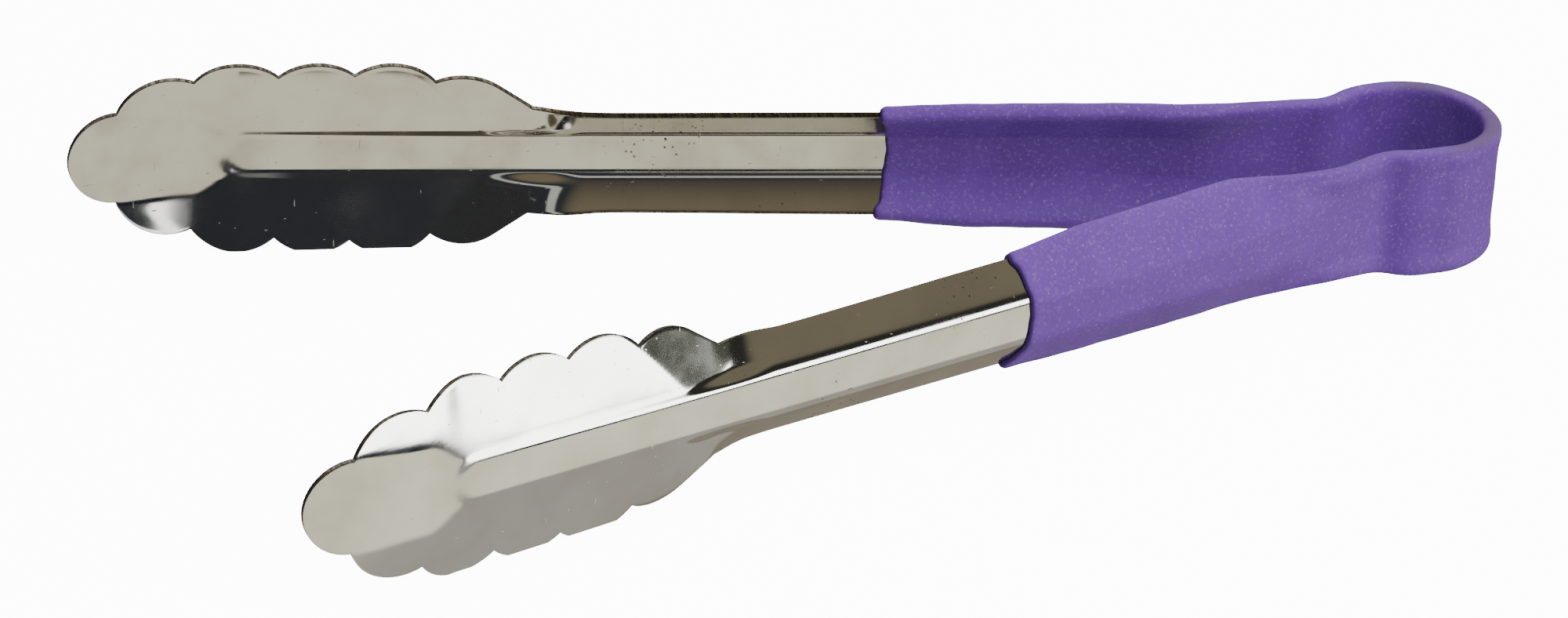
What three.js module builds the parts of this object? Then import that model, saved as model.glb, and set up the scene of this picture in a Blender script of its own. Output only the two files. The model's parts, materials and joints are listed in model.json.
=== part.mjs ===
// Scalloped utility tongs: one strip of spring steel, bent round a bow at the back, with a scalloped
// scoop stamped at each end and a vinyl grip dipped over the bow and both handles.
//
// The strip is described once, along its own length. Position `a` runs from the jaw tip (0) to the
// crown of the bow (STRIP_LENGTH), and `z` runs across the strip from its centre line. The tongs lie
// on their edge, so the strip's centre line stays in the plane z = 0.
//
// The bow flexes. It is cut from the two arms at its widest points, where each arm turns.
import * as THREE from "three";

const DEG = Math.PI / 180;

// Strip and coating, in millimetres.
const STEEL_THICKNESS = 1.0;
const HALF_STEEL = STEEL_THICKNESS / 2;
const COAT_THICKNESS = 0.85; // on the faces of the strip
const RIM_THICKNESS = 1.1; // dipped vinyl is thicker over an edge
const RIM_FADE = 3; // width over which the rim thins to the coating of the faces
const COAT_CLEARANCE = 0.12; // between the steel and the inside of the coating

// Centre line of one side, from the crown of the bow outwards.
const BOW_RADIUS = 12.9;
const BOW_SIDE = 3; // straight side of the bow
const SHOULDER_RADIUS = 14;
const SHOULDER_TURN = 23 * DEG; // turns in, towards the other arm
const NECK_RADIUS = 8;
const NECK_ANGLE = 17.5 * DEG; // between the strip and the centre plane, just in front of the neck
const NECK_LENGTH = 31;
const ARM_ANGLE = 14.65 * DEG; // between the rest of the arm and the centre plane
const ARM_BEND_RADIUS = 100;
const ARM_LENGTH = 176.2; // straight, to the jaw tip

// Scalloped outline of a jaw, as [a, half width] where two scallops meet.
const TIP_RADIUS = 8.3;
const TIP_START = 2.5 * DEG; // turn round the tip at which its first section stands
const NOTCHES = [
  [8.1, 8.25],
  [21, 13.75],
  [35.1, 15.1],
  [47.9, 15.5],
  [61.6, 14.3],
];
const SCALLOP_RADIUS = 9.7;
const LAST_SCALLOP_CENTRE = [66.6, 6];
const HEEL_SLOPE = 0.69; // the last scallop runs into a straight heel
const HEEL = 78; // where the heel meets the shank

// Half width of the strip behind the heel, as [a, half width].
const STRIP_WIDTHS = [
  [HEEL, 9.95],
  [92, 9.2],
  [137, 9.45],
  [156, 10.4],
  [181, 10.65],
  [204, 9.3],
  [224, 10.55],
  [248, 10.15],
];

// Stamped shape of the jaw: a flat tip that narrows to a flat rib along the middle, with a shallow
// flank either side of it, a flap at the heel, and scallops that turn in beyond the line of their
// notches. Creases are [a, distance from the centre line].
const RIB_HALF_WIDTH = 2.9;
const RIB_WALL = 2; // width of the rib's sloping wall
const RIB_HEIGHTS = [[28, 0.2], [75, 0.35]]; // [a, height] of the flank's foot over the rib
const RIB_START = 30.2; // centre of the rib's round end
const FLANK_CREASES = [[8, 8.3], [21, 7.5], [29, 3.4]];
const FLANK = { slope: 0.115, softness: 0.5, curve: 0.003 };
const FLAP_CREASE = [[61.4, 13.1], [67.7, 6.4]]; // slanting line that the last scallop folds along
const FLAP_FOOT = [3.4, 5.6]; // distances from the centre line over which the folded part fades in
const FLAP = { slope: 0.17, softness: 0.3, curve: 0 };
const SCALLOP_TURN = { slope: 0.06, softness: 1.5, curve: 0 };
const TIP_CURL = 3.5;
const CURL_LENGTH = 28;

// Stamped shape of the shank and handle: a deep leg either side of the flat rib.
const LEG_SLOPE = 0.74; // just beyond a bend that is as wide as the rib's wall
const LEG_CURVE = 0.022;
const FLANK_TO_LEG = [76.5, 87.5]; // over which the jaw's flanks turn into legs
const LEG_TO_FLAT = [184, 207]; // over which the legs flatten into the band of the bow
const RUN_OUT = [[184, 0], [199, 0.7], [211, 0]]; // [a, inward step] of the whole strip there

// Coating.
const COAT_FRONT = 137.5;
const DRIP = { z: -3.5, height: 0.6, half_length: 2, half_width: 3.5 }; // set drop on the crown

// Gap left in the strip and in the coating at each place where the bow is cut from an arm.
const CUT_GAP = 0.6;

const STEEL = new THREE.MeshStandardMaterial({ color: 0xc9c8c2, roughness: 0.16, metalness: 1 });
const VINYL = new THREE.MeshStandardMaterial({ color: 0x7054a8, roughness: 0.62, metalness: 0 });

// Centre line as pieces of constant curvature: [length, turn].
const CENTRE_LINE = [
  [BOW_RADIUS * Math.PI / 2, Math.PI / 2],
  [BOW_SIDE, 0],
  [SHOULDER_RADIUS * SHOULDER_TURN, SHOULDER_TURN],
  [NECK_RADIUS * (SHOULDER_TURN + NECK_ANGLE), -SHOULDER_TURN - NECK_ANGLE],
  [NECK_LENGTH, 0],
  [ARM_BEND_RADIUS * (NECK_ANGLE - ARM_ANGLE), NECK_ANGLE - ARM_ANGLE],
  [ARM_LENGTH, 0],
];
const STRIP_LENGTH = CENTRE_LINE.reduce((sum, [length]) => sum + length, 0);
const CUT = STRIP_LENGTH - CENTRE_LINE[0][0]; // the bow's widest point
const NEARBY = 0.05; // distance over which the sheet's slope is taken

// Places across the half strip as shares of it, where it is too narrow for the rib.
const NARROW_SHARES = { foot: 0.3, crease: 0.45, top: 0.6 };
const NARROWEST_EDGE = 0.2; // share of the half width that stays flat at the very tip

function smoothstep(low, high, value) {
  const t = Math.min(1, Math.max(0, (value - low) / (high - low)));
  return t * t * (3 - 2 * t);
}

// Value at x of a smooth line through [x, value] knots.
function eased(knots, x) {
  for (let i = 1; i < knots.length; i++) {
    const [x0, v0] = knots[i - 1];
    const [x1, v1] = knots[i];
    if (x <= x1) return v0 + (v1 - v0) * smoothstep(x0, x1, x);
  }
  return knots[knots.length - 1][1];
}

// Point and heading of the centre line at position a. The bow's centre is at x = 0.
function centreLine(a) {
  let x = BOW_RADIUS;
  let y = 0;
  let heading = Math.PI / 2;
  let left = STRIP_LENGTH - a;
  for (const [i, [length, turn]] of CENTRE_LINE.entries()) {
    const last = i === CENTRE_LINE.length - 1;
    const step = last ? left : Math.min(left, length);
    if (turn === 0) {
      x += step * Math.cos(heading);
      y += step * Math.sin(heading);
    } else {
      const radius = length / turn;
      const next = heading + step / radius;
      x += radius * (Math.sin(next) - Math.sin(heading));
      y -= radius * (Math.cos(next) - Math.cos(heading));
      heading = next;
    }
    left -= step;
    if (left <= 0) break;
  }
  return { x, y, heading };
}

// Half width at a of the line that joins the notches.
function notchLine(a) {
  for (let i = 1; i < NOTCHES.length; i++) {
    const [a0, w0] = NOTCHES[i - 1];
    const [a1, w1] = NOTCHES[i];
    if (a <= a1) return w0 + ((w1 - w0) * Math.max(0, a - a0)) / (a1 - a0);
  }
  return NOTCHES[NOTCHES.length - 1][1];
}

// Rise beyond a crease: none before it, and past it a slope that starts softly and may steepen.
function bent(past, { slope, softness, curve }) {
  return past > 0 ? (slope * past ** 2) / (past + softness) + curve * past ** 2 : 0;
}

function flapRise(a, across) {
  const [[a0, w0], [a1, w1]] = FLAP_CREASE;
  const past = ((a - a0) * (w0 - w1) + (across - w0) * (a1 - a0)) / Math.hypot(a1 - a0, w1 - w0);
  return bent(past, FLAP) * smoothstep(...FLAP_FOOT, across);
}

function jawRise(a, z) {
  const across = Math.abs(z);
  const fromRib = Math.hypot(z, Math.max(0, RIB_START - a));
  const wall = smoothstep(RIB_HALF_WIDTH, RIB_HALF_WIDTH + RIB_WALL, fromRib);
  const flank = bent(across - eased(FLANK_CREASES, a), FLANK);
  const scallops = bent(across - notchLine(a), SCALLOP_TURN);
  return eased(RIB_HEIGHTS, a) * wall + flank + flapRise(a, across) + scallops;
}

function legRise(z) {
  const past = Math.max(0, Math.abs(z) - RIB_HALF_WIDTH);
  const bend = Math.min(past, RIB_WALL);
  const leg = past - bend;
  return LEG_SLOPE * (bend ** 2 / (2 * RIB_WALL) + leg) + LEG_CURVE * leg ** 2;
}

// How far the middle of the sheet is stamped inwards from the centre line at (a, z).
function stampedRise(a, z) {
  const curl = TIP_CURL * (Math.max(0, CURL_LENGTH - a) / CURL_LENGTH) ** 2;
  const legShare = smoothstep(...FLANK_TO_LEG, a);
  const stamped = 1 - smoothstep(...LEG_TO_FLAT, a);
  return curl + eased(RUN_OUT, a) + stamped * (jawRise(a, z) * (1 - legShare) + legRise(z) * legShare);
}

// Point on the middle of the sheet.
function middle(a, z) {
  const { x, y, heading } = centreLine(a);
  const rise = stampedRise(a, z);
  return new THREE.Vector3(x - rise * Math.sin(heading), y + rise * Math.cos(heading), z);
}

// Point at `offset` from the middle of the sheet, towards the other arm where it is positive.
function offSheet(a, z, offset) {
  const along = middle(a - NEARBY, z).sub(middle(a + NEARBY, z));
  const across = middle(a, z + NEARBY).sub(middle(a, z - NEARBY));
  const inwards = across.cross(along).normalize();
  return middle(a, z).addScaledVector(inwards, offset);
}

// [a, half width] of an arc of the scallop radius from one notch to the next, first notch included.
function scallop([a0, w0], [a1, w1], steps) {
  const chord = Math.hypot(a1 - a0, w1 - w0);
  const height = Math.sqrt(SCALLOP_RADIUS ** 2 - (chord / 2) ** 2);
  const ca = (a0 + a1) / 2 + (height * (w1 - w0)) / chord;
  const cw = (w0 + w1) / 2 - (height * (a1 - a0)) / chord;
  const from = Math.atan2(a0 - ca, w0 - cw);
  const to = Math.atan2(a1 - ca, w1 - cw);
  return Array.from({ length: steps }, (_, i) => {
    const angle = from + ((to - from) * i) / steps;
    return [ca + SCALLOP_RADIUS * Math.sin(angle), cw + SCALLOP_RADIUS * Math.cos(angle)];
  });
}

function tipScallop(steps) {
  const end = Math.acos(1 - NOTCHES[0][0] / TIP_RADIUS);
  return Array.from({ length: steps }, (_, i) => {
    const angle = TIP_START + ((end - TIP_START) * i) / steps;
    return [TIP_RADIUS * (1 - Math.cos(angle)), TIP_RADIUS * Math.sin(angle)];
  });
}

function lastScallop(steps) {
  const [ca, cw] = LAST_SCALLOP_CENTRE;
  const [a0, w0] = NOTCHES[NOTCHES.length - 1];
  const from = Math.atan2(a0 - ca, w0 - cw);
  const to = Math.atan(HEEL_SLOPE);
  return Array.from({ length: steps }, (_, i) => {
    const angle = from + ((to - from) * i) / (steps - 1);
    return [ca + SCALLOP_RADIUS * Math.sin(angle), cw + SCALLOP_RADIUS * Math.cos(angle)];
  });
}

// Cross sections of the strip as [a, half width], from a0 to a1 in equal steps.
function plainStations(a0, a1, steps) {
  return Array.from({ length: steps + 1 }, (_, i) => {
    const a = a0 + ((a1 - a0) * i) / steps;
    return [a, eased(STRIP_WIDTHS, a)];
  });
}

function jawStations() {
  const pieces = [tipScallop(5)];
  for (let i = 1; i < NOTCHES.length; i++) pieces.push(scallop(NOTCHES[i - 1], NOTCHES[i], 4));
  pieces.push(lastScallop(5));
  return pieces.flat();
}

// Places across the half strip, from its centre line to `edge`. The first ones follow the rib's
// wall wherever the strip is wide enough to hold it.
function acrossTo(edge) {
  const foot = Math.min(RIB_HALF_WIDTH, NARROW_SHARES.foot * edge);
  const crease = Math.min(RIB_HALF_WIDTH + RIB_WALL / 2, NARROW_SHARES.crease * edge);
  const top = Math.min(RIB_HALF_WIDTH + RIB_WALL, NARROW_SHARES.top * edge);
  return [0, foot, crease, top, top + (edge - top) / 3, top + ((edge - top) * 2) / 3, edge];
}

// Closed section of the strip at [a, half width], `offset` off the middle of the sheet all round:
// its inner face, one edge, its outer face, and the other edge.
function section([a, halfWidth], offset) {
  const inset = Math.min(HALF_STEEL, (1 - NARROWEST_EDGE) * halfWidth);
  const edge = halfWidth - inset;
  const half = acrossTo(edge);
  const zs = [...half.slice(1).reverse().map((z) => -z), ...half];
  const inner = zs.map((z) => offSheet(a, z, offset(a, z)));
  const outer = zs.map((z) => offSheet(a, z, -offset(a, z))).reverse();
  return [...inner, edgePoint(a, edge, offset, inset), ...outer, edgePoint(a, -edge, offset, inset)];
}

// Point of a section's edge beside (a, z), level with the middle of the sheet.
function edgePoint(a, z, offset, inset) {
  const outwards = middle(a, z + Math.sign(z) * NEARBY).sub(middle(a, z)).normalize();
  return middle(a, z).addScaledVector(outwards, (offset(a, z) * inset) / HALF_STEEL);
}

// Triangles between two rings of n points that start at vertices p and q.
function band(index, n, p, q, facesIn = false) {
  for (let i = 0; i < n; i++) {
    const j = (i + 1) % n;
    const [b, c] = facesIn ? [p + j, q + i] : [q + i, p + j];
    index.push(p + i, b, q + j, p + i, q + j, c);
  }
}

function closedGeometry(points, index) {
  const positions = new Float32Array(points.flatMap((p) => p.toArray()));
  const geometry = new THREE.BufferGeometry();
  geometry.setAttribute("position", new THREE.BufferAttribute(positions, 3));
  geometry.setIndex(index);
  geometry.computeVertexNormals();
  return geometry;
}

// Solid through a row of sections, closed at both ends.
function loft(rings) {
  const n = rings[0].length;
  const index = [];
  for (let r = 1; r < rings.length; r++) band(index, n, (r - 1) * n, r * n);
  const last = (rings.length - 1) * n;
  // The face points of a section lie in opposite pairs, so each end closes with a strip of quads
  // and a triangle at each edge.
  const faces = (n - 2) / 2;
  const start = faces + 1;
  for (let i = 0; i < faces - 1; i++) {
    const far = start + faces - 1 - i;
    index.push(i, i + 1, far, i + 1, far - 1, far);
    index.push(last + i, last + far, last + i + 1, last + i + 1, last + far, last + far - 1);
  }
  for (const [p, q, r] of [[faces - 1, faces, start], [n - 2, n - 1, 0]]) {
    index.push(p, q, r);
    index.push(last + p, last + r, last + q);
  }
  return closedGeometry(rings.flat(), index);
}

// Tube with a thick wall, through a row of outer sections and a row of inner ones.
function sleeve(outer, inner) {
  const n = outer[0].length;
  const rows = outer.length;
  const index = [];
  for (let r = 1; r < rows; r++) {
    band(index, n, (r - 1) * n, r * n);
    band(index, n, (rows + r - 1) * n, (rows + r) * n, true);
  }
  band(index, n, rows * n, 0);
  band(index, n, (rows - 1) * n, (2 * rows - 1) * n);
  return closedGeometry([...outer.flat(), ...inner.flat()], index);
}

// The same body on the other side of the plane y = 0.
function mirrored(geometry) {
  const copy = geometry.clone().scale(1, -1, 1);
  const index = Array.from(copy.index.array);
  copy.setIndex(index.reverse());
  copy.computeVertexNormals();
  return copy;
}

function steelGeometry(stations) {
  return loft(stations.map((s) => section(s, () => HALF_STEEL)));
}

// Thickness of the coating at (a, z), which is greater at the rim.
function coatThickness(a, z) {
  const edge = eased(STRIP_WIDTHS, a) - HALF_STEEL;
  const rim = smoothstep(edge - RIM_FADE, edge, Math.abs(z));
  return COAT_THICKNESS + (RIM_THICKNESS - COAT_THICKNESS) * rim;
}

// Height of the set drop of coating at (a, z).
function dripHeight(a, z) {
  const along = (a - STRIP_LENGTH) / DRIP.half_length;
  const across = (z - DRIP.z) / DRIP.half_width;
  return DRIP.height * Math.exp(-along * along - across * across);
}

function coatGeometry(stations, withDrip) {
  const outside = (a, z) => HALF_STEEL + coatThickness(a, z);
  const outer = stations.map((s) => section(s, outside));
  const inner = stations.map((s) => section(s, () => HALF_STEEL + COAT_CLEARANCE));
  if (withDrip) stations.forEach(([a], i) => outer[i].forEach((p) => addDrip(a, p)));
  return sleeve(outer, inner);
}

// Moves a point on the outside of the bow's coating out by the height of the drop.
function addDrip(a, point) {
  const radius = Math.hypot(point.x, point.y);
  if (radius < BOW_RADIUS) return;
  const grown = 1 + dripHeight(a, point.z) / radius;
  point.x *= grown;
  point.y *= grown;
}

const armEnd = CUT - CUT_GAP / 2;
const bowEnd = CUT + CUT_GAP / 2;
const bowStations = plainStations(bowEnd, 2 * STRIP_LENGTH - bowEnd, 14);
const handle = [
  ...plainStations(COAT_FRONT, LEG_TO_FLAT[0], 4),
  ...plainStations(LEG_TO_FLAT[0], LEG_TO_FLAT[1], 6).slice(1),
  ...plainStations(LEG_TO_FLAT[1], armEnd, 8).slice(1),
];
const arm = steelGeometry([...jawStations(), ...plainStations(HEEL, COAT_FRONT, 7), ...handle.slice(1)]);
const grip = coatGeometry(handle, false);

const tongs = new THREE.Group();
function add(name, geometry, material) {
  const mesh = new THREE.Mesh(geometry, material);
  mesh.name = name;
  tongs.add(mesh);
}
add("spring_bow", steelGeometry(bowStations), STEEL);
add("bow_grip", coatGeometry(bowStations, true), VINYL);
add("left_jaw_arm", arm, STEEL);
add("left_grip", grip, VINYL);
add("right_jaw_arm", mirrored(arm), STEEL);
add("right_grip", mirrored(grip), VINYL);

// The origin is the centre of the tongs' bounding box.
const centre = new THREE.Box3().setFromObject(tongs).getCenter(new THREE.Vector3());
tongs.children.forEach((mesh) => mesh.geometry.translate(-centre.x, 0, 0));

export default tongs;
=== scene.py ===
"""Scalloped kitchen tongs: one strip of polished steel with a dipped purple vinyl grip.

The real tongs are one strip and one coat. Here each of them is made in two halves that meet at the
crown of the bow. Each half runs from there to the end of its arm.
Shapes are worked out in millimetres, and each mesh is written in metres, in the row frame. The
materials, the studio and the camera are in metres throughout.
"""
import json
import math

import bpy
import numpy as np
from mathutils import Matrix, Vector


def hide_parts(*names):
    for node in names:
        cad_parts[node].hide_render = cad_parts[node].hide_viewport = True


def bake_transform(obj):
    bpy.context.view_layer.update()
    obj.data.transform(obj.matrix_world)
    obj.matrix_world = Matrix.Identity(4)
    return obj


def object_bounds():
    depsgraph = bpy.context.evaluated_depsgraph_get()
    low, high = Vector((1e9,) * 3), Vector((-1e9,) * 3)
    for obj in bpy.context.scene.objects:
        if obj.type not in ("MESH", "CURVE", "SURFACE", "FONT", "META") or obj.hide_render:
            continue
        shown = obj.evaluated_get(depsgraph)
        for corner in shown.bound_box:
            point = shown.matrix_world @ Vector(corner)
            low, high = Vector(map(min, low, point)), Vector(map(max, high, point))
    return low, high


MM = 0.001

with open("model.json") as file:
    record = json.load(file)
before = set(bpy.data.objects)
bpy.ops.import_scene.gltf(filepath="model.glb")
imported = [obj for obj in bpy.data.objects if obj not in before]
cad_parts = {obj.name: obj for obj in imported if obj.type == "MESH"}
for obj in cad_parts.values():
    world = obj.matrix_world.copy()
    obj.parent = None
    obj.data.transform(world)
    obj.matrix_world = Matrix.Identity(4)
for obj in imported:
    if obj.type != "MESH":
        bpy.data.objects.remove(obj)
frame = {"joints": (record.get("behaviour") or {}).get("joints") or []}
CAD_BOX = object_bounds()

# ---------------------------------------------------------------- the strip's driving dimensions
STEEL_THICKNESS = 1.0
HALF_STEEL = STEEL_THICKNESS / 2
EDGE_ROUND = 0.14  # radius left on the stamped edges

BOW_RADIUS = 12.9
BOW_SIDE = 3.0
SHOULDER_RADIUS = 14.0
SHOULDER_TURN = math.radians(23)
NECK_RADIUS = 8.0
NECK_ANGLE = math.radians(17.5)
NECK_LENGTH = 31.0
ARM_ANGLE = math.radians(14.65)
ARM_BEND_RADIUS = 100.0
ARM_LENGTH = 176.2

TIP_RADIUS = 8.3
TIP_START = 0.045  # turn round the tip, in radians, at which its first section stands
NOTCHES = [(8.1, 8.25), (21, 13.75), (35.1, 15.1), (47.9, 15.5), (61.6, 14.3)]
SCALLOP_RADIUS = 9.7
LAST_SCALLOP_CENTRE = (66.6, 6.0)
HEEL_SLOPE = 0.69
HEEL = 78.0
BOW_HALF_WIDTH = 10.55  # where the bow is widest
SHANK_WIDTHS = [(HEEL, 9.95), (92, 9.2), (137, 9.45), (156, 10.4)]
BOW_WIDTHS = [(181, 10.65), (204, 9.3), (224, BOW_HALF_WIDTH), (248, 10.15)]
STRIP_WIDTHS = SHANK_WIDTHS + BOW_WIDTHS

RIB_HALF_WIDTH = 2.9
RIB_WALL = 2.0
RIB_HEIGHTS = [(28, 0.2), (75, 0.35)]
RIB_START = 30.2
FLANK_CREASES = [(8, 8.3), (21, 7.5), (29, 3.4)]
FLANK = {"slope": 0.115, "softness": 0.5, "curve": 0.003}
FLAP_CREASE = [(61.4, 13.1), (67.7, 6.4)]  # slanting line that the last scallop folds along
FLAP_FOOT = (3.4, 5.6)  # distances from the centre line over which the folded part fades in
FLAP = {"slope": 0.17, "softness": 0.3, "curve": 0}
SCALLOP_TURN = {"slope": 0.06, "softness": 1.5, "curve": 0}  # beyond the line of the notches
TIP_CURL = 3.5
CURL_LENGTH = 28.0
LEG_SLOPE = 0.74  # just beyond a bend that is as wide as the rib's wall
LEG_CURVE = 0.022
FLANK_TO_LEG = (76.5, 87.5)
LEG_TO_FLAT = (184, 207)
RUN_OUT = [(184, 0), (199, 0.7), (211, 0)]  # inward step of the whole strip there
NEARBY = 0.05  # distance over which the sheet's slope is taken

# ---------------------------------------------------------------- the coating's dimensions
COAT_FACE = 0.85
COAT_RIM = 1.1
RIM_FADE = 3.0
COAT_CLEARANCE = 0.06
COAT_FRONT = 137.5
LIP_SETBACK = 1.4  # the coat starts further back in the middle of the strip than at its edges
LIP_REACH = 25.0  # length of coat over which that setback fades away
LIP_ROUND = 1.3
LIP_THICKNESS = 0.18
EAR = 0.6  # how far the coat runs out at the strip's two edges
EAR_START = 0.86  # share of the half width at which an ear starts
LIP_RIPPLES = [(0.10, 7.0, 1.0), (0.05, 19.0, 0.0)]  # height, radians in a half width, and phase
UNEVEN = 0.05  # how much the coat's thickness wanders, in waves of UNEVEN_WAVES radians a millimetre
UNEVEN_WAVES = [(0.55, 0.4), (0.21, -0.3)]  # along and across the strip
DRIP_Z, DRIP_HEIGHT, DRIP_HALF_LENGTH, DRIP_HALF_WIDTH = -3.5, 0.6, 2.0, 3.5

# ---------------------------------------------------------------- the studio, in metres and degrees
FLOOR_GAP = 0.0003
FLOOR_REACH = 3.0
FLOOR_GLOW = 12.0
BACKDROP = 12.0
CAMERA_ANGLES = (-23.20, 26.83, 3.79)  # azimuth, elevation and roll
CAMERA_DISTANCE = 1.3187
CAMERA_TARGET = (-0.0042, 0, 0)
CAMERA_AIM = (-0.00598, -0.00749)  # slope to the right and up, which leaves the tongs off centre
CAMERA_LENS = 182.2
LAMPS = {
    "key": {"place": (0.1, -0.25, 1.15), "size": 0.9, "power": 7},
    "side": {"place": (0.8, -0.7, 0.6), "size": 0.6, "power": 3},
}

CENTRE_LINE = [
    (BOW_RADIUS * math.pi / 2, math.pi / 2),
    (BOW_SIDE, 0.0),
    (SHOULDER_RADIUS * SHOULDER_TURN, SHOULDER_TURN),
    (NECK_RADIUS * (SHOULDER_TURN + NECK_ANGLE), -SHOULDER_TURN - NECK_ANGLE),
    (NECK_LENGTH, 0.0),
    (ARM_BEND_RADIUS * (NECK_ANGLE - ARM_ANGLE), NECK_ANGLE - ARM_ANGLE),
    (ARM_LENGTH, 0.0),
]
STRIP_LENGTH = sum(length for length, _ in CENTRE_LINE)

# The hinge lies at the bow's widest point, straight beside the bow's centre.
HINGE = {j["child"]: np.array(j["pos_m"]) for j in frame["joints"]}
BOW_CENTRE_X = HINGE["left_arm"][0] / MM


def smoothstep(low, high, value):
    """0 up to low, 1 from high on, and a smooth step between them."""
    t = np.clip((value - low) / (high - low), 0, 1)
    return t * t * (3 - 2 * t)


def eased(knots, x):
    """Value at x of a smooth line through (x, value) knots."""
    result = np.full_like(x, float(knots[0][1]))
    for (x0, v0), (x1, v1) in zip(knots, knots[1:]):
        result = np.where(x > x0, v0 + (v1 - v0) * smoothstep(x0, x1, x), result)
    return result


def centre_line(a):
    """Points and headings of the strip's centre line at distances a from the jaw tip."""
    x = np.full_like(a, BOW_RADIUS)
    y = np.zeros_like(a)
    heading = np.full_like(a, math.pi / 2)
    left = STRIP_LENGTH - a
    for i, (length, turn) in enumerate(CENTRE_LINE):
        last = i == len(CENTRE_LINE) - 1
        first = i == 0
        step = np.clip(left, None if first else 0, None if last else length)
        if turn == 0:
            x = x + step * np.cos(heading)
            y = y + step * np.sin(heading)
        else:
            radius = length / turn
            ahead = heading + step / radius
            x = x + radius * (np.sin(ahead) - np.sin(heading))
            y = y - radius * (np.cos(ahead) - np.cos(heading))
            heading = ahead
        left = left - step
    return x, y, heading


def bent(past, slope, softness, curve):
    """Zero before a crease, and past it a slope that starts softly and may steepen."""
    past = np.maximum(0, past)
    return slope * past**2 / (past + softness) + curve * past**2


def flap_rise(a, across):
    """The last scallop, folded inwards along a slanting crease."""
    (a0, w0), (a1, w1) = FLAP_CREASE
    past = ((a - a0) * (w0 - w1) + (across - w0) * (a1 - a0)) / math.hypot(a1 - a0, w1 - w0)
    return bent(past, **FLAP) * smoothstep(*FLAP_FOOT, across)


def jaw_rise(a, z):
    """The scoop: a flat rib, its low wall, the flank beyond it and the turned-in scallops."""
    across = np.abs(z)
    from_rib = np.hypot(z, np.maximum(0, RIB_START - a))
    wall = smoothstep(RIB_HALF_WIDTH, RIB_HALF_WIDTH + RIB_WALL, from_rib)
    flank = bent(across - eased(FLANK_CREASES, a), **FLANK)
    scallops = bent(across - np.interp(a, *zip(*NOTCHES)), **SCALLOP_TURN)
    return eased(RIB_HEIGHTS, a) * wall + flank + flap_rise(a, across) + scallops


def leg_rise(z):
    """The channel of the shank: a flat back and two legs, each beyond a rounded bend."""
    past = np.maximum(0, np.abs(z) - RIB_HALF_WIDTH)
    bend = np.minimum(past, RIB_WALL)
    leg = past - bend
    return LEG_SLOPE * (bend**2 / (2 * RIB_WALL) + leg) + LEG_CURVE * leg**2


def stamped_rise(a, z):
    """How far the middle of the sheet is stamped inwards from the centre line."""
    curl = TIP_CURL * (np.maximum(0, CURL_LENGTH - a) / CURL_LENGTH) ** 2
    leg_share = smoothstep(*FLANK_TO_LEG, a)
    stamped = 1 - smoothstep(*LEG_TO_FLAT, a)
    shape = jaw_rise(a, z) * (1 - leg_share) + leg_rise(z) * leg_share
    return curl + eased(RUN_OUT, a) + stamped * shape


def middle(a, z):
    """Points on the middle of the sheet."""
    x, y, heading = centre_line(a)
    rise = stamped_rise(a, z)
    return np.stack([x - rise * np.sin(heading), y + rise * np.cos(heading), z], axis=-1)


def unit(v):
    return v / np.linalg.norm(v, axis=-1, keepdims=True)


def off_sheet(a, z, inwards_by, outwards_by):
    """Points off the middle of the sheet, towards the other arm and past the strip's edge."""
    along = middle(a - NEARBY, z) - middle(a + NEARBY, z)
    across = middle(a, z + NEARBY) - middle(a, z - NEARBY)
    inwards = unit(np.cross(across, along))
    sideways = unit(across) * np.sign(z)[..., None]
    return middle(a, z) + inwards * inwards_by[..., None] + sideways * outwards_by[..., None]


# ---------------------------------------------------------------- outline of the jaw
TIP_STEPS, SCALLOP_STEPS, HEEL_STEPS = 22, 18, 8
SHANK_STEPS, COVERED_STEPS = 90, 110


def scallop(notch, following, steps):
    """(a, half width) along an arc from one notch to the next, the first notch included."""
    (a0, w0), (a1, w1) = notch, following
    chord = math.hypot(a1 - a0, w1 - w0)
    height = math.sqrt(SCALLOP_RADIUS**2 - (chord / 2) ** 2)
    ca = (a0 + a1) / 2 + height * (w1 - w0) / chord
    cw = (w0 + w1) / 2 - height * (a1 - a0) / chord
    angle = np.linspace(math.atan2(a0 - ca, w0 - cw), math.atan2(a1 - ca, w1 - cw), steps + 1)[:-1]
    return np.stack([ca + SCALLOP_RADIUS * np.sin(angle), cw + SCALLOP_RADIUS * np.cos(angle)], 1)


def tip_scallop(steps):
    """(a, half width) round the tip, up to the first notch."""
    end = math.acos(1 - NOTCHES[0][0] / TIP_RADIUS)
    angle = np.linspace(TIP_START, end, steps + 1)[:-1]
    return np.stack([TIP_RADIUS * (1 - np.cos(angle)), TIP_RADIUS * np.sin(angle)], 1)


def last_scallop(steps):
    """(a, half width) from the last notch to where the outline runs straight to the heel."""
    (a0, w0), (ca, cw) = NOTCHES[-1], LAST_SCALLOP_CENTRE
    angle = np.linspace(math.atan2(a0 - ca, w0 - cw), math.atan(HEEL_SLOPE), steps)
    return np.stack([ca + SCALLOP_RADIUS * np.sin(angle), cw + SCALLOP_RADIUS * np.cos(angle)], 1)


def plain_outline(a0, a1, steps):
    """(a, half width) along the shank or the bow, a0 left out."""
    a = np.linspace(a0, a1, steps + 1)[1:]
    return np.stack([a, eased(STRIP_WIDTHS, a)], 1)


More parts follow.
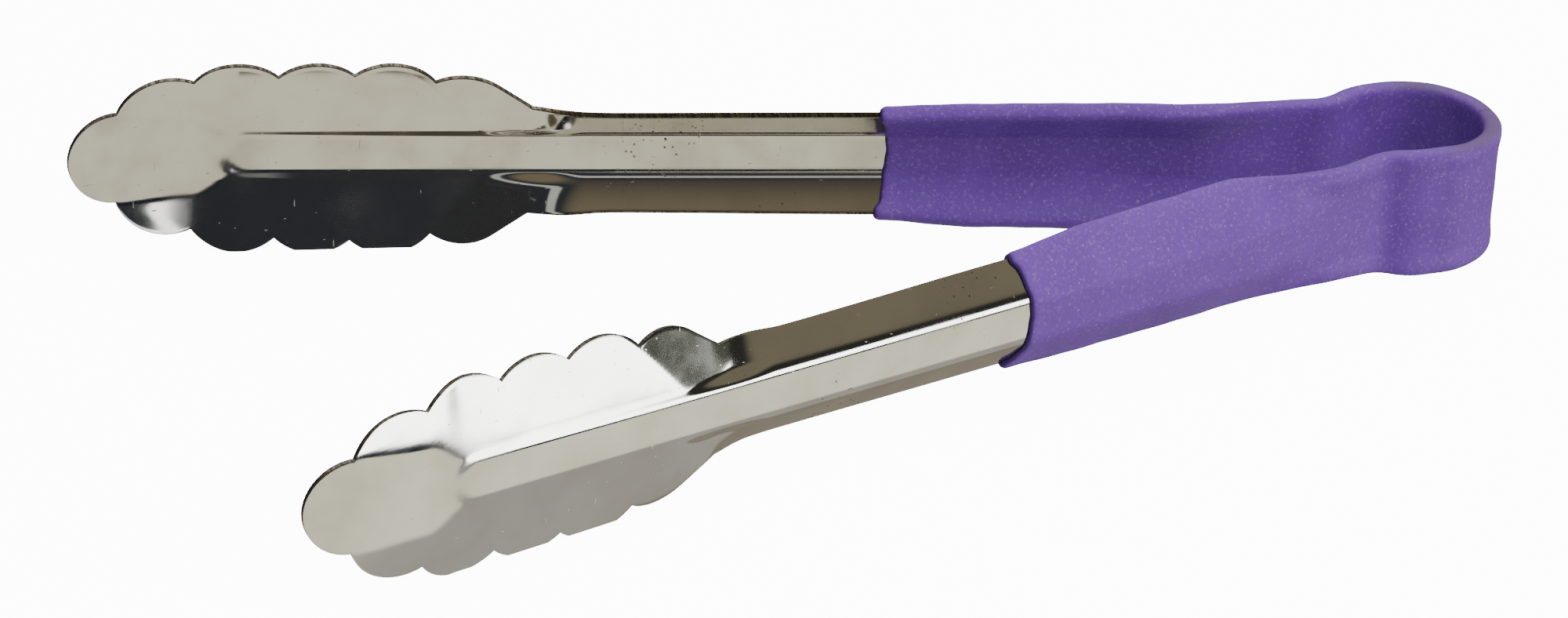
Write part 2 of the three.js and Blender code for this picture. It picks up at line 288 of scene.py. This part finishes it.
def strip_outline():
    """(a, half width) of the whole half strip, from the jaw tip to the crown of the bow."""
    tip = tip_scallop(TIP_STEPS)
    scallops = [scallop(p, q, SCALLOP_STEPS) for p, q in zip(NOTCHES, NOTCHES[1:])]
    last = last_scallop(SCALLOP_STEPS)
    heel = np.linspace(last[-1], (HEEL, eased(STRIP_WIDTHS, np.array(HEEL))), HEEL_STEPS + 1)[1:]
    shank = plain_outline(HEEL, COAT_FRONT, SHANK_STEPS)
    covered = plain_outline(COAT_FRONT, STRIP_LENGTH, COVERED_STEPS)
    return np.concatenate([tip, *scallops, last, heel, shank, covered])


# ---------------------------------------------------------------- lofted halves
FLAT_STEPS, WALL_STEPS, FLANK_STEPS = 6, 10, 14  # across the rib, its wall and the rest
EDGE_ARC = np.linspace(0, math.pi / 2, 5)[1:]
RIM_ARC = np.linspace(0, math.pi, 13)[1:-1]
RIM_SQUARENESS = 0.65  # power that flattens the rim of the coat; 1 leaves it round
NARROW_FOOT, NARROW_TOP = 0.35, 0.6  # shares of the half width, where the rib doesn't fit
NARROW_ROUND = 0.4  # share of the half width that an edge's rounding may take at the tip
LIP_ROWS, COAT_ROWS = 12, 199
LIP_ROWS_REACH = 1.5 * LIP_ROUND


def across_strip(edge):
    """Places across the strip from -edge to edge, closer together over the rib's walls."""
    foot = np.minimum(RIB_HALF_WIDTH, NARROW_FOOT * edge)
    top = np.minimum(RIB_HALF_WIDTH + RIB_WALL, NARROW_TOP * edge)
    flat = np.linspace(0, 1, FLAT_STEPS + 1) * foot
    wall = foot + np.linspace(0, 1, WALL_STEPS + 1)[1:] * (top - foot)
    flank = top + np.linspace(0, 1, FLANK_STEPS + 1)[1:] * (edge - top)
    half = np.concatenate([flat, wall, flank], axis=1)
    return np.concatenate([-half[:, :0:-1], half], axis=1)


def ring_faces(p, q, n):
    """Quads between the rings of n points that start at vertices p and q."""
    i = np.arange(n)
    j = (i + 1) % n
    return np.stack([p + i, q + i, q + j, p + j], 1)


def loft_faces(rows, n, first=0):
    """Quads between consecutive rings of n points, ring 0 starting at vertex `first`."""
    return np.concatenate([ring_faces(first + r * n, first + (r + 1) * n, n) for r in range(rows - 1)])


def new_piece(name, points, faces, side, materials, material_of_face, flat_faces):
    """A mesh in row-frame metres, from points made for the left side and mirrored for the right."""
    placed = (points.reshape(-1, 3) + [BOW_CENTRE_X, 0, 0]) * [MM, side * MM, MM]
    faces = [tuple(int(v) for v in face)[::side] for face in faces]
    mesh = bpy.data.meshes.new(name)
    mesh.from_pydata(placed.tolist(), [], faces)
    for material in materials:
        mesh.materials.append(material)
    mesh.polygons.foreach_set("material_index", material_of_face)
    mesh.polygons.foreach_set("use_smooth", np.logical_not(flat_faces))
    mesh.update()
    piece = bpy.data.objects.new(name, mesh)
    bpy.context.scene.collection.objects.link(piece)
    return piece


def cut_edge(a, edge, round_off, side):
    """Points round one cut edge of the strip, whose corners are just broken."""
    level = HALF_STEEL - EDGE_ROUND * (1 - np.cos(EDGE_ARC))
    levels = np.concatenate([level, -level[::-1]])
    out = np.concatenate([np.sin(EDGE_ARC), np.sin(EDGE_ARC)[::-1]])
    return off_sheet(a, side * edge, side * levels[None, :], round_off * out)


def strip_half(name, side, materials):
    """Half of the steel strip. Its cut edges and its two ends have the second material."""
    outline = strip_outline()
    a, half_width = outline[:, :1], outline[:, 1:]
    round_off = np.minimum(EDGE_ROUND, NARROW_ROUND * half_width)
    edge = half_width - round_off
    z = across_strip(edge)
    a_face = np.repeat(a, z.shape[1], axis=1)
    face = np.full_like(z, HALF_STEEL)
    flush = np.zeros_like(z)
    rings = [
        off_sheet(a_face, z, face, flush),
        cut_edge(a, edge, round_off, 1),
        off_sheet(a_face, z[:, ::-1], -face, flush),
        cut_edge(a, edge, round_off, -1),
    ]
    rows, count = len(a), sum(ring.shape[1] for ring in rings)
    on_edge = np.concatenate([np.full(ring.shape[1], i % 2 == 1) for i, ring in enumerate(rings)])
    faces = [tuple(f) for f in loft_faces(rows, count)]
    ends = [tuple(range(count)), tuple(range(rows * count - 1, (rows - 1) * count - 1, -1))]
    material = np.concatenate([np.tile(on_edge, rows - 1), [True, True]]).astype(int)
    flat = [False] * len(faces) + [True, True]
    return new_piece(name, np.concatenate(rings, axis=1), faces + ends, side, materials, material, flat)


def lip_place(row, share):
    """Distance along the strip of a coat row at a share of the half width, -1 to 1.

    Near its front the coat is set back in the middle of the strip, and runs out to small ears."""
    near_front = 1 - smoothstep(COAT_FRONT, COAT_FRONT + LIP_REACH, row)
    ripple = sum(height * np.sin(waves * share + phase) for height, waves, phase in LIP_RIPPLES)
    ears = EAR * smoothstep(EAR_START, 1, np.abs(share))
    return row + near_front * (LIP_SETBACK * (1 - share**2) + ripple - ears)


def coat_outside(a, z, edge):
    """How far the coat's outside lies off the middle of the sheet."""
    rim = smoothstep(edge - RIM_FADE, edge, np.abs(z))
    (short_a, short_z), (long_a, long_z) = UNEVEN_WAVES
    uneven = UNEVEN * np.sin(a * short_a + z * short_z) * np.sin(a * long_a + z * long_z)
    from_lip = np.maximum(0, a - lip_place(np.full_like(a, COAT_FRONT), z / edge))
    swell = np.sqrt(1 - (1 - np.clip(from_lip / LIP_ROUND, 0, 1)) ** 2)
    thickness = COAT_FACE + (COAT_RIM - COAT_FACE) * rim + uneven
    return HALF_STEEL + LIP_THICKNESS + (thickness - LIP_THICKNESS) * swell


def coat_inside(a, z, edge):
    """How far the coat's inside lies off the middle of the sheet."""
    return np.full_like(z, HALF_STEEL + COAT_CLEARANCE)


def wrapped(rows, reach_of):
    """Rings round the strip, each point reach_of(a, z, edge) off the middle of the sheet."""
    edge = eased(STRIP_WIDTHS, rows) - HALF_STEEL
    z = across_strip(edge)
    a = lip_place(rows, z / edge)
    flush = np.zeros_like(z)
    reach = reach_of(a, z, edge)
    rims = []
    for side in (1, -1):
        z_rim = side * edge
        a_rim = lip_place(rows, np.full_like(rows, side))
        rim = reach_of(a_rim, z_rim, edge)
        level = side * np.sign(np.cos(RIM_ARC)) * np.abs(np.cos(RIM_ARC)) ** RIM_SQUARENESS
        out = np.sin(RIM_ARC) ** RIM_SQUARENESS
        rims.append(off_sheet(a_rim, z_rim, rim * level, rim * out))
    back = slice(None, None, -1)
    faces = [off_sheet(a, z, reach, flush), off_sheet(a[:, back], z[:, back], -reach[:, back], flush)]
    return np.concatenate([faces[0], rims[0], faces[1], rims[1]], axis=1)


def with_drip(points):
    """The same points, with the set drop of vinyl on the outside of the crown."""
    radius = np.hypot(points[..., 0], points[..., 1])
    angle = np.arctan2(points[..., 1], points[..., 0])
    along = angle * BOW_RADIUS / DRIP_HALF_LENGTH
    across = (points[..., 2] - DRIP_Z) / DRIP_HALF_WIDTH
    outside = (radius > BOW_RADIUS) & (points[..., 0] > 0)
    grown = 1 + outside * DRIP_HEIGHT * np.exp(-(along**2) - across**2) / radius
    return points * np.stack([grown, grown, np.ones_like(grown)], axis=-1)


def coat_rows():
    """Positions of the coat's rings, closest together at its lip."""
    lip = COAT_FRONT + LIP_ROWS_REACH * np.linspace(0, 1, LIP_ROWS) ** 2
    return np.concatenate([lip, np.linspace(lip[-1], STRIP_LENGTH, COAT_ROWS + 1)[1:]])[:, None]


def note(piece, name, values):
    """Keeps one number for each vertex, which the piece's material reads."""
    attribute = piece.data.attributes.new(name, "FLOAT", "POINT")
    attribute.data.foreach_set("value", values.astype(np.float32))


def coat_half(name, side, material):
    """Half of the vinyl coat, a closed skin with an outside, an inside, a lip and a crown end."""
    rows = coat_rows()
    outside = with_drip(wrapped(rows, coat_outside))
    inside = wrapped(rows, coat_inside)
    count = outside.shape[1]
    total = len(rows) * count
    walls = [
        loft_faces(len(rows), count),
        loft_faces(len(rows), count, first=total)[:, ::-1],
        ring_faces(total, 0, count),
        ring_faces(total - count, 2 * total - count, count),
    ]
    points = np.concatenate([outside.reshape(-1, 3), inside.reshape(-1, 3)])
    faces = np.concatenate(walls)
    at_crown = np.arange(len(faces)) >= len(faces) - count
    piece = new_piece(name, points, faces, side, [material], np.zeros(len(faces), int), at_crown)
    note(piece, "from_lip", np.tile(np.repeat(rows[:, 0] - COAT_FRONT, count), 2))
    return piece


# ---------------------------------------------------------------- materials
BRIGHT_STEEL, SMUDGED_STEEL = (0.72, 0.715, 0.685), (0.65, 0.64, 0.605)
DARK_CUT, BRIGHT_CUT = (0.07, 0.06, 0.045), (0.24, 0.215, 0.17)
PIT_BROWN, NICK_BROWN = (0.17, 0.12, 0.06), (0.10, 0.065, 0.03)
SHANK_X = (-0.045, -0.02)  # from where on the steel is pitted and rippled

DARK_VINYL, LIGHT_VINYL = (0.155, 0.054, 0.375), (0.184, 0.068, 0.435)
SPECKLE, GLINT = (0.30, 0.17, 0.56), (0.46, 0.34, 0.68)
# The second colour is painted shade: the dark line just behind the coat's lip, where the coat steps down to
# the steel.
RUBBED_VINYL, PAINTED_LIP_SHADE = (0.13, 0.085, 0.17), (0.035, 0.012, 0.09)
RUBBED_Z = (0.0104, 0.0116)  # the rim
RUBBED_X = (0.098, 0.108)  # the bow


class Nodes:
    """Short calls for building a node tree. Scales are in cells for each metre."""

    def __init__(self, tree):
        self.tree = tree
        self.tree.nodes.clear()

    def add(self, kind, inputs=(), **settings):
        node = self.tree.nodes.new(kind)
        for key, value in settings.items():
            setattr(node, key, value)
        for key, value in dict(inputs).items():
            if isinstance(value, bpy.types.NodeSocket):
                self.tree.links.new(value, node.inputs[key])
            else:
                node.inputs[key].default_value = value
        return node

    def math(self, operation, a, b=0.0):
        return self.add("ShaderNodeMath", {0: a, 1: b}, operation=operation).outputs[0]

    def product(self, *factors):
        result = factors[0]
        for factor in factors[1:]:
            result = self.math("MULTIPLY", result, factor)
        return result

    def ramp(self, value, low, high, to_low=0.0, to_high=1.0):
        """to_low up to low, to_high from high on, and a smooth step between them."""
        inputs = {"Value": value, "From Min": low, "From Max": high, "To Min": to_low, "To Max": to_high}
        return self.add("ShaderNodeMapRange", inputs, interpolation_type="SMOOTHSTEP").outputs[0]

    def under(self, value, low, high):
        """1 up to low and 0 from high on."""
        return self.ramp(value, low, high, 1, 0)

    def between(self, value, low, high, soft):
        """1 from low to high, with soft ends."""
        return self.product(self.ramp(value, low - soft, low), self.under(value, high, high + soft))

    def mix(self, share, first, second):
        colours = {6: rgba(first), 7: rgba(second)}
        return self.add("ShaderNodeMix", {0: share, **colours}, data_type="RGBA").outputs[2]

    def stretched(self, coordinates, scale):
        return self.add("ShaderNodeMapping", {"Vector": coordinates, "Scale": scale}).outputs[0]

    def noise(self, vector, scale, detail=2.0, roughness=0.5):
        inputs = {"Vector": vector, "Scale": scale, "Detail": detail, "Roughness": roughness}
        return self.add("ShaderNodeTexNoise", inputs).outputs[0]

    def cells(self, vector, scale):
        inputs = {"Vector": vector, "Scale": scale}
        return self.add("ShaderNodeTexVoronoi", inputs, feature="F1").outputs["Distance"]

    def bump(self, height, strength, distance, below=None):
        inputs = {"Height": height, "Strength": strength, "Distance": distance}
        if below is not None:
            inputs["Normal"] = below
        return self.add("ShaderNodeBump", inputs).outputs[0]


def rgba(colour):
    return (*colour, 1) if isinstance(colour, tuple) else colour


def new_material(name):
    material = bpy.data.materials.new(name)
    material.use_nodes = True
    nodes = Nodes(material.node_tree)
    shader = nodes.add("ShaderNodeBsdfPrincipled")
    nodes.add("ShaderNodeOutputMaterial", {"Surface": shader.outputs[0]})
    place = nodes.add("ShaderNodeTexCoord").outputs["Object"]
    return material, nodes, shader, place


def fill(nodes, shader, **inputs):
    """Links node outputs to the shader, or sets its plain values."""
    for name, value in inputs.items():
        socket = shader.inputs[name.replace("_", " ")]
        if isinstance(value, bpy.types.NodeSocket):
            nodes.tree.links.new(value, socket)
        else:
            socket.default_value = value


def polished_steel():
    """Bright stamped stainless steel with drawn grain, hairline scratches and small brown pits."""
    material, nodes, shader, place = new_material("polished_steel")
    x = nodes.add("ShaderNodeSeparateXYZ", {0: place}).outputs[0]
    on_shank = nodes.ramp(x, *SHANK_X)
    smudge = nodes.noise(place, 95.0, 4.0)
    grain = nodes.noise(nodes.stretched(place, (90, 2600, 2600)), 1.0, 3.0)
    peel = nodes.noise(place, 2600.0, 2.0)
    hairline = nodes.under(nodes.cells(nodes.stretched(place, (45, 1100, 700)), 1.0), 0.03, 0.09)
    crossing = nodes.under(nodes.cells(nodes.stretched(place, (700, 420, 60)), 1.0), 0.03, 0.08)
    scratches = nodes.math("MAXIMUM", hairline, crossing)
    patch = nodes.ramp(nodes.noise(place, 60.0), 0.52, 0.62)
    pit = nodes.under(nodes.cells(place, 700.0), 0.10, 0.19)
    pits = nodes.product(pit, patch, on_shank)
    bright = nodes.mix(nodes.ramp(smudge, 0.35, 0.7), BRIGHT_STEEL, SMUDGED_STEEL)
    colour = nodes.mix(pits, bright, PIT_BROWN)
    gloss = nodes.ramp(smudge, 0.3, 0.75, 0.06, 0.15)
    rough = nodes.math("ADD", gloss, nodes.product(scratches, 0.4))
    rough = nodes.math("ADD", rough, nodes.product(pits, 0.4))
    fine = nodes.bump(grain, 0.05, 0.00002)
    fine = nodes.bump(nodes.product(peel, on_shank), 0.10, 0.00002, fine)
    normal = nodes.bump(scratches, 0.30, 0.00002, fine)
    fill(nodes, shader, Base_Color=colour, Roughness=rough, Normal=normal, Metallic=1.0)
    return material


def cut_steel():
    """Sheared edge of the strip, darker and coarser than its faces, with brown nicks."""
    material, nodes, shader, place = new_material("cut_steel_edge")
    tick = nodes.noise(nodes.stretched(place, (2500, 600, 600)), 1.0, 3.0)
    nick = nodes.ramp(nodes.noise(place, 420.0, 2.0), 0.60, 0.66)
    colour = nodes.mix(nodes.ramp(tick, 0.4, 0.65), DARK_CUT, BRIGHT_CUT)
    colour = nodes.mix(nick, colour, NICK_BROWN)
    rough = nodes.ramp(tick, 0.3, 0.7, 0.45, 0.22)
    normal = nodes.bump(tick, 0.3, 0.00005)
    fill(nodes, shader, Base_Color=colour, Roughness=rough, Normal=normal, Metallic=1.0)
    return material


def dipped_vinyl():
    """Purple plastisol: satin orange peel, fine pale flecks, greyer where the bow has rubbed."""
    material, nodes, shader, place = new_material("dipped_vinyl")
    x, _, z = nodes.add("ShaderNodeSeparateXYZ", {0: place}).outputs
    from_lip = nodes.add("ShaderNodeAttribute", attribute_name="from_lip").outputs["Fac"]
    cloud = nodes.noise(place, 70.0, 4.0)
    colour = nodes.mix(nodes.ramp(cloud, 0.3, 0.7), DARK_VINYL, LIGHT_VINYL)
    speckle = nodes.ramp(nodes.noise(place, 1500.0, 2.0, 0.7), 0.50, 0.72, 0, 0.5)
    colour = nodes.mix(speckle, colour, SPECKLE)
    glint = nodes.ramp(nodes.cells(place, 700.0), 0.05, 0.18, 0.4, 0)
    colour = nodes.mix(glint, colour, GLINT)
    at_rim = nodes.ramp(nodes.math("ABSOLUTE", z), *RUBBED_Z)
    at_bow = nodes.ramp(x, *RUBBED_X)
    rubbed = nodes.product(at_rim, at_bow, nodes.ramp(cloud, 0.35, 0.6, 0.3, 0.9))
    colour = nodes.mix(rubbed, colour, RUBBED_VINYL)
    # Painted shade: a dark line just behind the coat's lip, where the coat steps down to the steel.
    painted_lip_shade = nodes.ramp(from_lip, 0.1, 0.6, 0.75, 0)
    colour = nodes.mix(painted_lip_shade, colour, PAINTED_LIP_SHADE)
    rough = nodes.ramp(cloud, 0.3, 0.7, 0.44, 0.56)
    peel = nodes.bump(nodes.noise(place, 620.0, 2.0), 0.30, 0.00022)
    normal = nodes.bump(nodes.noise(place, 2600.0, 1.0), 0.22, 0.00006, peel)
    fill(nodes, shader, Base_Color=colour, Roughness=rough, Normal=normal, Specular_IOR_Level=0.3)
    return material


# ---------------------------------------------------------------- the tongs
def flexes(piece):
    """Bakes the half's placement into its mesh."""
    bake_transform(piece)


def make_tongs():
    steel, edge, vinyl = polished_steel(), cut_steel(), dipped_vinyl()
    for hand, side in (("left", 1), ("right", -1)):
        strip = strip_half(hand + "_strip", side, [steel, edge])
        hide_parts(hand + "_jaw_arm", "spring_bow")
        flexes(strip)
        coat = coat_half(hand + "_coat", side, vinyl)
        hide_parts(hand + "_grip", "bow_grip")
        flexes(coat)


# ---------------------------------------------------------------- floor, light and camera
def make_floor():
    """A bright pale sweep under the scallops of both jaws and the rim of the bow."""
    (jaw_x, _, jaw_z), (bow_x, _, _) = CAD_BOX
    bow_z = -(BOW_HALF_WIDTH + COAT_RIM) * MM
    slope = (bow_z - jaw_z) / (bow_x - jaw_x)
    low, high = -FLOOR_REACH, FLOOR_REACH
    spots = [(low, low), (high, low), (high, high), (low, high)]
    corners = [(x, y, jaw_z - FLOOR_GAP + slope * (x - jaw_x)) for x, y in spots]
    mesh = bpy.data.meshes.new("floor")
    mesh.from_pydata(corners, [], [(0, 1, 2, 3)])
    floor = bpy.data.objects.new("floor", mesh)
    bpy.context.scene.collection.objects.link(floor)
    material, nodes, shader, place = new_material("pale_floor")
    tone = nodes.mix(nodes.noise(place, 12.0), (0.86, 0.86, 0.855), (0.88, 0.88, 0.875))
    fill(nodes, shader, Base_Color=tone, Roughness=0.9, Specular_IOR_Level=0.1)
    fill(nodes, shader, Emission_Color=rgba((1.0, 1.0, 1.0)), Emission_Strength=FLOOR_GLOW)
    mesh.materials.append(material)
    floor.visible_glossy = False
    floor.visible_diffuse = False


# Colours of the room that the polished steel reflects.
DARK_ROOM, PALE_BAND, WARM_CEILING = (0.034, 0.036, 0.043), (0.55, 0.55, 0.52), (0.20, 0.165, 0.105)
WINDOW, WHITE_SHEET, PALE_WALL = (3.0, 3.0, 3.0), (8.0, 8.0, 8.1), (0.85, 0.82, 0.68)
OLIVE_WALL, OLIVE_CEILING, CEILING_GAP = (0.095, 0.105, 0.075), (0.21, 0.185, 0.125), (0.03, 0.03, 0.026)
WHITE_WALL, DIM_BAND, DARK_DOOR = (1.6, 1.6, 1.6), (0.40, 0.40, 0.41), (0.05, 0.052, 0.06)
GREY_WALL, TABLE_GAP = (0.5, 0.5, 0.49), (0.012, 0.015, 0.028)
TABLE, LIT_TABLE, SHADED_TABLE = (0.93, 0.88, 0.69), (1.25, 1.20, 0.95), (0.50, 0.475, 0.42)
FAR_TABLE, TABLE_LINE, UNDER_TONGS = (0.31, 0.28, 0.22), (0.08, 0.07, 0.05), (0.10, 0.09, 0.06)


def room_in_front(nodes, azimuth, height):
    """A dark room with a pale band under a warm ceiling, and a sliver of window."""
    front = nodes.mix(nodes.between(height, 0.46, 0.58, 0.04), DARK_ROOM, PALE_BAND)
    front = nodes.mix(nodes.ramp(height, 0.66, 0.86), front, WARM_CEILING)
    sliver = nodes.between(azimuth, -1.605, -1.565, 0.02)
    return nodes.mix(nodes.product(sliver, nodes.between(height, -0.24, 0, 0.06)), front, WINDOW)


def room_on_the_right(nodes, azimuth, height):
    """A white sheet and an olive wall, both under a dark gap and an olive ceiling, then a pale wall."""
    right = nodes.mix(nodes.ramp(azimuth, -0.62, -0.57), WHITE_SHEET, OLIVE_WALL)
    right = nodes.mix(nodes.ramp(height, 0.0, 0.1), right, CEILING_GAP)
    right = nodes.mix(nodes.ramp(height, 0.36, 0.56), right, OLIVE_CEILING)
    return nodes.mix(nodes.ramp(azimuth, -0.16, -0.06), right, PALE_WALL)


def room_behind(nodes, x, height):
    """A white wall with a dim band across it, which is darker on the left."""
    dim = nodes.mix(nodes.between(x, -0.85, -0.45, 0.12), DIM_BAND, DARK_DOOR)
    return nodes.mix(nodes.between(height, -0.25, 0.5, 0.08), WHITE_WALL, dim)


def table_below(nodes, x, y, azimuth, height):
    """A pale table, lit on the right but shaded close to the tongs, and dim behind them.

    A dark line runs across it in front, and a dark patch lies straight under the tongs."""
    lit = nodes.ramp(azimuth, -1.5, -0.8)
    table = nodes.mix(lit, TABLE, LIT_TABLE)
    table = nodes.mix(nodes.product(lit, nodes.under(height, -0.62, -0.48)), table, SHADED_TABLE)
    line = nodes.product(nodes.between(azimuth, -1.8, -1.5, 0.05), nodes.between(height, -0.93, -0.8, 0.03))
    table = nodes.mix(line, table, TABLE_LINE)
    table = nodes.mix(nodes.ramp(y, -0.02, 0.06), table, FAR_TABLE)
    straight_down = nodes.product(nodes.under(height, -0.97, -0.955), nodes.under(y, -0.06, 0.0))
    straight_down = nodes.product(straight_down, nodes.under(x, 0.0, 0.1))
    return nodes.mix(straight_down, table, UNDER_TONGS)


def reflected_room(nodes, towards):
    """What polished steel shows: the room in front, on the right and behind, and the table below."""
    x, y, height = nodes.add("ShaderNodeSeparateXYZ", {0: towards}).outputs
    azimuth = nodes.math("ARCTAN2", y, x)
    front, right = room_in_front(nodes, azimuth, height), room_on_the_right(nodes, azimuth, height)
    room = nodes.mix(nodes.ramp(azimuth, -1.25, -1.15), front, right)
    room = nodes.mix(nodes.ramp(y, 0.15, 0.35), room, room_behind(nodes, x, height))
    room = nodes.mix(nodes.under(x, -0.95, -0.87), room, GREY_WALL)
    room = nodes.mix(nodes.under(height, -0.295, -0.275), room, TABLE_GAP)
    table = table_below(nodes, x, y, azimuth, height)
    return nodes.mix(nodes.under(height, -0.415, -0.395), room, table)


def make_world():
    """Pale light, dimmer low down and on the left.

    Steel reflects a room instead, in more detail, and the camera sees a plain white."""
    world = bpy.data.worlds.new("studio")
    bpy.context.scene.world = world
    world.use_nodes = True
    nodes = Nodes(world.node_tree)
    towards = nodes.add("ShaderNodeTexCoord").outputs["Generated"]
    x, _, height = nodes.add("ShaderNodeSeparateXYZ", {0: towards}).outputs
    paths = nodes.add("ShaderNodeLightPath").outputs
    light = nodes.mix(nodes.ramp(height, -0.2, 0.8), (0.92, 0.92, 0.92), (1.0, 1.0, 1.0))
    light = nodes.mix(nodes.ramp(x, -0.8, 0.5, 0.75, 0), light, (0.0, 0.0, 0.0))
    seen = nodes.mix(paths["Is Glossy Ray"], light, reflected_room(nodes, towards))
    seen = nodes.mix(paths["Is Camera Ray"], seen, (BACKDROP, BACKDROP, BACKDROP))
    background = nodes.add("ShaderNodeBackground", {"Color": seen, "Strength": 1.0})
    nodes.add("ShaderNodeOutputWorld", {"Surface": background.outputs[0]})


def make_lamp(name, place, size, power):
    """A square soft box that points at the tongs. Steel doesn't reflect it."""
    data = bpy.data.lights.new(name, "AREA")
    data.size = size
    data.energy = power
    lamp = bpy.data.objects.new(name, data)
    lamp.location = place
    lamp.rotation_euler = (-Vector(place)).to_track_quat("-Z", "Y").to_euler()
    lamp.visible_glossy = False
    bpy.context.scene.collection.objects.link(lamp)


def make_camera():
    """The camera stands in front of the tongs, a little above them and to the left."""
    azimuth, elevation, roll = (math.radians(angle) for angle in CAMERA_ANGLES)
    level = math.cos(elevation)
    forward = Vector((-math.sin(azimuth) * level, math.cos(azimuth) * level, -math.sin(elevation)))
    right = Vector((math.cos(azimuth), math.sin(azimuth), 0))
    up = right.cross(forward)
    rolled_right = right * math.cos(roll) + up * math.sin(roll)
    rolled_up = up * math.cos(roll) - right * math.sin(roll)
    aim = (forward + rolled_right * CAMERA_AIM[0] + rolled_up * CAMERA_AIM[1]).normalized()
    side = aim.cross(rolled_up).normalized()
    data = bpy.data.cameras.new("camera")
    data.lens = CAMERA_LENS
    camera = bpy.data.objects.new("camera", data)
    matrix = Matrix((side, side.cross(aim), -aim)).transposed().to_4x4()
    matrix.translation = Vector(CAMERA_TARGET) - forward * CAMERA_DISTANCE
    camera.matrix_world = matrix
    bpy.context.scene.collection.objects.link(camera)
    bpy.context.scene.camera = camera


make_tongs()
make_floor()
make_world()
for lamp, settings in LAMPS.items():
    make_lamp(lamp, **settings)
make_camera()
